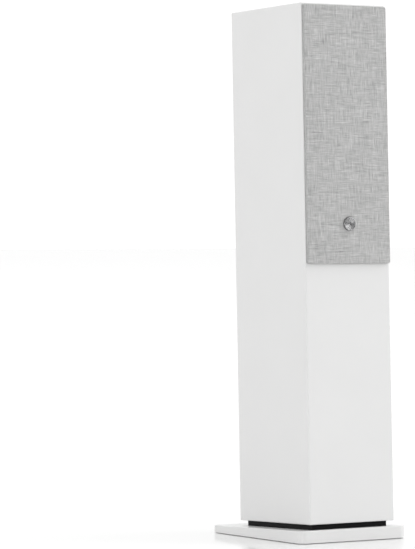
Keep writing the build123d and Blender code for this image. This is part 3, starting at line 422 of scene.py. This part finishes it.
def settle(shape, name, slot, centre_x=0.0, centre_z=0.0, scale=MM):
    """Puts a bmesh in its place on the leaned tower and makes it an object with a finish."""
    bmesh.ops.transform(shape, verts=shape.verts,
                        matrix=LEANED @ Matrix.Translation((centre_x, 0, centre_z))
                        @ Matrix.Scale(scale, 4))
    mesh = bpy.data.meshes.new(name)
    shape.to_mesh(mesh)
    shape.free()
    mesh.shade_smooth()
    mesh.set_sharp_from_angle(angle=CREASE)
    mesh.materials.append(finishes[slot])
    piece = bpy.data.objects.new(name, mesh)
    bpy.context.scene.collection.objects.link(piece)
    print(name, len(mesh.polygons), "faces")
    return piece


# %% [markdown]
# ## The grille cloth
#
# The cloth is one flat cut, pulled over the frame's front and folded back along its four
# sides. A cloth simulation would only give back the flat drum it is stretched into, so it
# is folded directly: a plain rectangle, rounded at its corners, with its rim extruded back
# and the fold softened by a bevel. A Solidify modifier gives the thickness of the fabric,
# and the UV map is the flat cut in metres.

# %% Fold the cloth over its frame
CORNER = 3 * MM
FOLD = 1.2 * MM
FABRIC = 0.55 * MM

cloth_low, cloth_high = upright_box("grille_cloth")
cloth_w, wrap, cloth_h = cloth_high - cloth_low
shape = bmesh.new()
bmesh.ops.create_grid(shape, x_segments=1, y_segments=1, size=0.5)
bmesh.ops.scale(shape, verts=shape.verts, vec=(cloth_w, cloth_h, 1))
bmesh.ops.rotate(shape, verts=shape.verts, cent=(0, 0, 0), matrix=Matrix.Rotation(pi / 2, 3, "X"))
bmesh.ops.bevel(shape, geom=shape.verts[:], offset=CORNER, offset_type="OFFSET", affect="VERTICES",
                segments=8, profile=0.5, material=-1)
rim = [edge for edge in shape.edges if edge.is_boundary]
extruded = bmesh.ops.extrude_edge_only(shape, edges=rim)["geom"]
skirt = [item for item in extruded if isinstance(item, bmesh.types.BMVert)]
bmesh.ops.translate(shape, verts=skirt, vec=(0, wrap, 0))
bmesh.ops.recalc_face_normals(shape, faces=shape.faces)
fold_edges = [edge for edge in shape.edges if all(abs(v.co.y) < MERGE_MM * MM for v in edge.verts)]
bmesh.ops.bevel(shape, geom=fold_edges, offset=FOLD, offset_type="OFFSET", affect="EDGES",
                segments=4, profile=0.5, material=-1)
cut = shape.loops.layers.uv.new("cut")
for face in shape.faces:
    sideways = abs(face.normal.x) > abs(face.normal.z)
    for loop in face.loops:
        x, y, z = loop.vert.co
        back = y if abs(face.normal.y) < cos(radians(40)) else 0
        u = x + (back if x > 0 else -back) * sideways
        v = z + (back if z > 0 else -back) * (not sideways)
        loop[cut].uv = (u, v)
bmesh.ops.translate(shape, verts=shape.verts, vec=(0, cloth_low.y, 0))
cloth = settle(shape, "stretched_cloth", "grille_cloth",
               centre_z=(cloth_low.z + cloth_high.z) / 2, scale=1)
thickness = cloth.modifiers.new("fabric", "SOLIDIFY")
thickness.thickness = FABRIC
thickness.offset = -1
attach(cloth, "grille")
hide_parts("grille_cloth")

# %% [markdown]
# ## The badge
#
# A small metal disc sits low on the cloth. Its face is nearly flat, with a little well in
# the middle and a rounded rim, and a pin at the back goes through the cloth into the
# frame. It carries no mark. A deeper dish would light up on one side only, so the face is
# kept shallow and the turned rings of its finish give a highlight on both sides.

# %% Turn the badge
low, high = upright_box("grille_badge")
rim_r = (high.x - low.x) / 2 / MM
front, pin_end = low.y / MM, high.y / MM
seat = cloth_low.y / MM
PIN_R = 1.5
WELL_R = 2.5
WELL_DEPTH = 1.15
outline = [(0, front + WELL_DEPTH), (WELL_R - 0.5, front + WELL_DEPTH), (WELL_R - 0.1, front + 1.0)]
outline += [(WELL_R, front + 0.55), (WELL_R + 0.35, front + 0.32)]
outline += bowed((WELL_R + 0.6, front + 0.28), (6.3, front + 0.16), (rim_r - 1.5, front + 0.03), 12)
outline += bowed((rim_r - 1.3, front), (rim_r - 0.35, front + 0.3), (rim_r, front + 1.2), 8)
outline += [(rim_r, seat), (PIN_R, seat), (PIN_R, pin_end), (0, pin_end)]
badge = settle(spin_outline(outline, closed=False), "turned_badge", "turned_metal",
               centre_z=badge_centre.z)
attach(badge, "grille")
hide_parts("grille_badge")

# %% [markdown]
# ## The woofers
#
# From outside in, a woofer is a lining ring, a half roll of rubber, a paper cone and a dust
# cap. The lining ring is a CAD piece, and the other three are turned here. The roll joins
# the fixed basket to the moving cone, so it has to stretch as the cone travels.


# %% A rolled edge round the cone
def rolled_edge(inner_r, outer_r, land_r, foot, rise, thick, back):
    """Outline of a half roll with a flat land outside it, glued at both feet."""
    middle, half = (inner_r + outer_r) / 2, (outer_r - inner_r) / 2
    arch = [n * pi / 14 for n in range(15)]
    front_side = [(middle - half * cos(a), foot - rise * sin(a)) for a in arch]
    half_in = half - thick * 0.8
    back_side = [(middle + half_in * cos(a), foot + thick - rise * sin(a)) for a in arch]
    lip = [(inner_r - 1.0, foot - 0.15), (inner_r - 1.0, foot + 0.12)]
    return lip[:1] + front_side + [(land_r, foot), (land_r, back)] + back_side + lip[1:]


def share_by_radius(piece, centre, axis, inner_r, outer_r):
    """Works out each point's share of the moving body, all of it at the inner edge and none at the
    outer, but keeps none of it.
    """
    for vertex in piece.data.vertices:
        arm = vertex.co - centre
        radius = (arm - axis * arm.dot(axis)).length / MM
        share = min(1.0, max(0.0, (outer_r - radius) / (outer_r - inner_r)))
        share * share * (3 - 2 * share)


# %% Turn each woofer's cone, cap and rolled edge
AXIS = (LEANED.to_3x3() @ Vector((0, 1, 0))).normalized()
ROLL_THICK = 0.7
ROLL_LAND = 2.55
GLUE_GAP = 0.3
CONE_THICK = 1.2
CAP_THICK = 0.6
for name in ("upper_woofer", "lower_woofer"):
    moving = name + "_diaphragm"
    low, high = upright_box(name + "_cone")
    axis_z = (low.z + high.z) / 2
    cone_r, cone_front = (high.x - low.x) / 2 / MM, low.y / MM
    cap_low, cap_high = upright_box(name + "_dust_cap")
    cap_r, cap_front, cap_seat = (cap_high.x - cap_low.x) / 2 / MM, cap_low.y / MM, cap_high.y / MM
    edge_low, edge_high = upright_box(name + "_surround")
    land_r, crest, land_back = (edge_high.x - edge_low.x) / 2 / MM, edge_low.y / MM, edge_high.y / MM
    roll_in, roll_out, foot = cone_r + GLUE_GAP, land_r - ROLL_LAND, cone_front

    neck_r, coil_r = cap_r + 1.5, cap_r - 2.6
    middle = ((cone_r + neck_r) / 2, (cone_front + cap_seat) / 2 - 1.2)
    face = bowed((cone_r, cone_front), middle, (neck_r, cap_seat), 16)
    rear = [(r, y + CONE_THICK) for r, y in reversed(face)]
    outline = face + [(coil_r, cap_seat), (coil_r, cap_seat + CONE_THICK)] + rear
    cone = settle(spin_outline(outline, closed=True), name + "_paper_cone", "charcoal_cone",
                  centre_z=axis_z)
    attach(cone, moving)
    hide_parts(name + "_cone")

    dome = bowed((0, cap_front), (cap_r * 0.62, cap_front + 1.7), (cap_r, cap_seat - CAP_THICK), 14)
    under = [(r, y + CAP_THICK) for r, y in reversed(dome)]
    bead = [(cap_r + 0.9, cap_seat - 0.25), (cap_r + 1.2, cap_seat)]
    cap = settle(spin_outline(dome + bead + under, closed=False), name + "_cap", "dust_cap",
                 centre_z=axis_z)
    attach(cap, moving)
    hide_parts(name + "_dust_cap")

    roll = rolled_edge(roll_in, roll_out, land_r, foot, foot - crest, ROLL_THICK, land_back)
    surround = settle(spin_outline(roll, closed=True), name + "_rolled_edge", "rubber",
                      centre_z=axis_z)
    centre = LEANED @ Vector((0, foot * MM, axis_z))
    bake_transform(surround)
    share_by_radius(surround, centre, AXIS, roll_in, roll_out)
    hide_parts(name + "_surround")

# %% [markdown]
# ## The tweeter
#
# The tweeter has a one-inch dome of coated fabric, which rests on a narrow roll of its own
# behind the faceplate. The faceplate comes from CAD, with its turned groove and the hole
# for the light. The dome is turned here, with the soft seam where it meets its roll.

# %% Turn the dome and its roll
DOME_THICK = 0.5
DOME_ROLL_W = 4.6
DOME_ROLL_THICK = 0.45
low, high = upright_box("tweeter_dome")
axis_z = (low.z + high.z) / 2
dome_r, dome_front, dome_seat = (high.x - low.x) / 2 / MM, low.y / MM, high.y / MM
foot = dome_seat - DOME_THICK
rise = foot - dome_front
face = bowed((0, dome_front), (dome_r * 0.66, dome_front + rise * 0.34), (dome_r, foot), 16)
under = [(r, y + DOME_THICK) for r, y in reversed(face)]
dome = settle(spin_outline(face + under, closed=False), "fabric_dome", "soft_dome", centre_z=axis_z)
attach(dome, "tweeter_diaphragm")
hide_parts("tweeter_dome")

edge_low, edge_high = upright_box("tweeter_surround")
land_r, crest, land_back = (edge_high.x - edge_low.x) / 2 / MM, edge_low.y / MM, edge_high.y / MM
inner_r = dome_r + GLUE_GAP
outer_r = inner_r + DOME_ROLL_W
roll = rolled_edge(inner_r, outer_r, land_r, foot, foot - crest, DOME_ROLL_THICK, land_back)
dome_edge = settle(spin_outline(roll, closed=True), "dome_rolled_edge", "soft_dome", centre_z=axis_z)
centre = LEANED @ Vector((0, foot * MM, axis_z))
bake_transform(dome_edge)
share_by_radius(dome_edge, centre, AXIS, inner_r, outer_r)
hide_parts("tweeter_surround")

# %% [markdown]
# ## The studio
#
# The speaker stands on a plain pale floor in an even, bright light, as for a catalogue.
# Light comes from all round, and from four suns: a key above and to the right, a weaker
# fill on the left, a small one from the front that lights up the near edges, and a wide
# one overhead. Suns are used instead of lamps near the object, because their light is the
# same everywhere, so the floor stays white to the horizon. The floor is slightly polished,
# so the speaker mirrors softly in it.

# %% Floor
FLOOR_HALF = 60
shape = bmesh.new()
bmesh.ops.create_grid(shape, x_segments=1, y_segments=1, size=FLOOR_HALF)
mesh = bpy.data.meshes.new("studio_floor")
shape.to_mesh(mesh)
shape.free()
material, wire = start_finish("studio_floor")
haze = noise(wire, place_on(wire), 400, 2.0)
mesh.materials.append(coat_on(material, wire, {
    "Base Color": two_tone(wire, haze, (0.865, 0.865, 0.865), (0.885, 0.885, 0.885)),
    "Roughness": 0.10,
}))
floor = bpy.data.objects.new("studio_floor", mesh)
bpy.context.scene.collection.objects.link(floor)

# %% [markdown]
# ## World and lights
#
# The world is white all round, except for a darker patch in front of the speaker, which
# keeps the black parts black and the white ones a shade darker than the white around them.

# %% A world with a darker patch, and four suns
ALL_ROUND = 1.0
IN_FRONT = 0.50
SEEN = 1.1
AWAY = (0.10, 0.995, 0.0)
world = bpy.data.worlds.new("studio")
bpy.context.scene.world = world
world.use_nodes = True
world.node_tree.nodes.clear()
sky = Wire(world.node_tree)
looking = sky.node("ShaderNodeTexCoord", {}, {}, "Generated")
facing = sky.node("ShaderNodeVectorMath", {"operation": "DOT_PRODUCT"}, {0: looking, 1: AWAY}, "Value")
around = sky.node("ShaderNodeMapRange", {"interpolation_type": "SMOOTHSTEP"},
                  {"Value": facing, "From Min": -0.75, "From Max": -0.15,
                   "To Min": IN_FRONT, "To Max": ALL_ROUND})
direct = sky.node("ShaderNodeLightPath", {}, {}, "Is Camera Ray")
light = sky.node("ShaderNodeBackground", {}, {"Color": (1, 1, 1, 1),
                                              "Strength": direct * SEEN + (1 - direct) * around})
sky.node("ShaderNodeOutputWorld", {}, {"Surface": light})


def sun(name, towards, power, softness):
    """A sun that shines from the given direction; softness is its width in degrees."""
    lamp = bpy.data.lights.new(name, "SUN")
    lamp.energy = power * pi
    lamp.angle = radians(softness)
    holder = bpy.data.objects.new(name, lamp)
    holder.rotation_mode = "QUATERNION"
    holder.rotation_quaternion = Vector(towards).to_track_quat("Z", "Y")
    bpy.context.scene.collection.objects.link(holder)


sun("key", (0.84, -0.48, 0.42), 0.38, 38)
sun("fill", (-0.90, -0.38, 0.30), 0.045, 50)
sun("front", (-0.58, -0.80, 0.12), 0.165, 22)
sun("top", (0.05, 0.10, 1.0), 0.22, 60)
bpy.context.scene.view_settings.view_transform = "Standard"

# %% [markdown]
# ## Camera
#
# A long lens from about five metres away keeps the tower's edges nearly parallel. The
# camera stands to the left of the speaker, a little above its middle, and looks slightly
# down. Its heading is measured from straight ahead, and its pitch from level.

# %% Place and aim the camera
LENS = 219.44
EYE = (-2.829, -4.066, 0.454)
HEADING = radians(33.10)
PITCH = radians(-0.784)
camera = bpy.data.objects.new("camera", bpy.data.cameras.new("camera"))
bpy.context.scene.collection.objects.link(camera)
camera.data.lens = LENS
camera.data.sensor_width = 36
camera.data.clip_end = 200
camera.location = EYE
gaze = Vector((sin(HEADING) * cos(PITCH), cos(HEADING) * cos(PITCH), sin(PITCH)))
camera.rotation_mode = "QUATERNION"
camera.rotation_quaternion = gaze.to_track_quat("-Z", "Y")
bpy.context.scene.camera = camera
